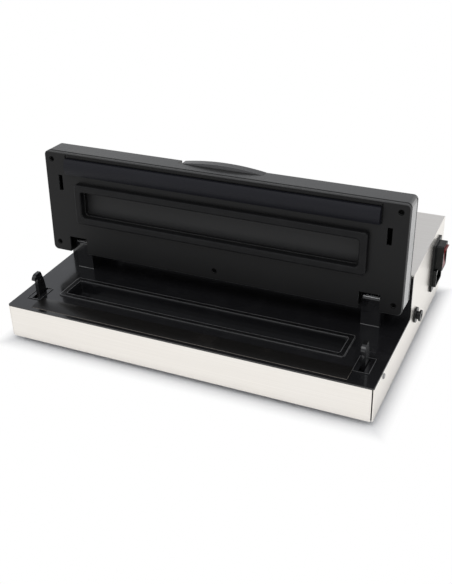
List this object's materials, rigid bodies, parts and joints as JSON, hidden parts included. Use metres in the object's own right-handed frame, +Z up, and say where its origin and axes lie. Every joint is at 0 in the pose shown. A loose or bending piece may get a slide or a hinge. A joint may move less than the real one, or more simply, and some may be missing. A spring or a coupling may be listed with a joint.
{
  "type": "vacuum sealer",
  "caption": "Countertop vacuum sealer in a folded steel casing, with a black deck, vacuum trough, heat sealing strip, lid hooks and a hinged lid standing open.",
  "frame": {"origin": "on the floor under the middle of the casing's footprint", "axes": "+X to the right as the user faces the front, +Y to the rear, +Z up"},
  "size_m": [0.4139, 0.265, 0.1851],
  "materials": {
    "steel": "brushed",
    "pan_steel": "galvanised",
    "rubber_foot": "matte",
    "deck_plastic": "gloss",
    "lid_plastic": "satin",
    "seal_rubber": "matte",
    "bar_rubber": "satin",
    "tape": "satin",
    "silicone": "matte",
    "nichrome": "plain",
    "hook_metal": "gloss",
    "pin_steel": "bright",
    "spring_steel": "plain",
    "inlet_plastic": "satin",
    "brass_pin": "plated",
    "rocker_red": "gloss",
    "panel_plastic": "satin",
    "button_grey": "satin",
    "lamp_clear": "clear",
    "board_green": "satin",
    "pump_cast": "cast",
    "motor_can": "plated",
    "core_iron": "laminated",
    "winding_tape": "taped",
    "hose_silicone": "satin"
  },
  "bodies": {
    "base": {"casing": "steel", "apron": "steel", "side_left": "steel", "side_right": "steel", "bottom_pan": "pan_steel", "foot_1": "rubber_foot", "foot_2": "rubber_foot", "foot_3": "rubber_foot", "foot_4": "rubber_foot", "deck": "deck_plastic", "deck_seal": "seal_rubber", "heater_bed": "silicone", "heater_ribbon": "nichrome", "seal_tape": "tape", "hook_pivot_left": "hook_metal", "hook_pivot_right": "hook_metal", "hook_spring_left": "spring_steel", "hook_spring_right": "spring_steel", "hinge_bracket_left": "lid_plastic", "hinge_bracket_right": "lid_plastic", "hinge_pin_left": "pin_steel", "hinge_pin_right": "pin_steel", "hinge_spring_left": "spring_steel", "hinge_spring_right": "spring_steel", "inlet_module": "inlet_plastic", "inlet_pin_line": "brass_pin", "inlet_pin_neutral": "brass_pin", "inlet_pin_earth": "brass_pin", "accessory_port": "inlet_plastic", "control_panel": "panel_plastic", "lamp_vacuum": "lamp_clear", "lamp_seal": "lamp_clear", "lamp_stop": "lamp_clear", "control_board": "board_green", "pump_head": "pump_cast", "pump_motor": "motor_can", "transformer_core": "core_iron", "transformer_winding": "winding_tape", "trough_hose": "hose_silicone", "spigot_hose": "hose_silicone"},
    "lid": {"lid_plate": "lid_plastic", "lid_cover": "lid_plastic", "lid_seal": "seal_rubber", "pressure_bar": "bar_rubber"},
    "lock": {"lock_tab": "lid_plastic", "lock_bar": "panel_plastic"},
    "hooks": {"hook_left": "hook_metal", "hook_right": "hook_metal", "hook_bar": "hook_metal"},
    "rocker": {"power_rocker": "rocker_red"},
    "button_a": {"button_vacuum": "button_grey"},
    "button_b": {"button_seal": "button_grey"},
    "button_c": {"button_stop": "button_grey"}
  },
  "joints": [
    {"name": "lid_hinge", "type": "hinge", "parent": "base", "child": "lid", "pos_m": [0, -0.021, 0.0721], "axis": [1, 0, 0], "range_deg": [0, 92.75], "stiffness_Nm_per_rad": 0.28, "springref_deg": -20.05, "deforming": ["hinge_spring_left", "hinge_spring_right"]},
    {"name": "lock_slide", "type": "slide", "parent": "lid", "child": "lock", "axis": [-1, 0, 0], "range_m": [0, 0.0042]},
    {"name": "hook_swing", "type": "hinge", "parent": "base", "child": "hooks", "pos_m": [0, -0.1017, 0.0379], "axis": [-1, 0, 0], "range_deg": [0, 12], "stiffness_Nm_per_rad": 0.5, "springref_deg": -14.32, "deforming": ["hook_spring_left", "hook_spring_right"]},
    {"name": "rocker_tip", "type": "hinge", "parent": "base", "child": "rocker", "pos_m": [0.203, 0.0955, 0.0682], "axis": [0, -1, 0], "range_deg": [0, 12]},
    {"name": "press_a", "type": "slide", "parent": "base", "child": "button_a", "axis": [0, 0.0388, -0.9992], "range_m": [0, 0.0012], "stiffness_N_per_m": 500, "springref_m": -0.0008},
    {"name": "press_b", "type": "slide", "parent": "base", "child": "button_b", "axis": [0, 0.0388, -0.9992], "range_m": [0, 0.0012], "stiffness_N_per_m": 500, "springref_m": -0.0008},
    {"name": "press_c", "type": "slide", "parent": "base", "child": "button_c", "axis": [0, 0.0388, -0.9992], "range_m": [0, 0.0012], "stiffness_N_per_m": 500, "springref_m": -0.0008}
  ]
}
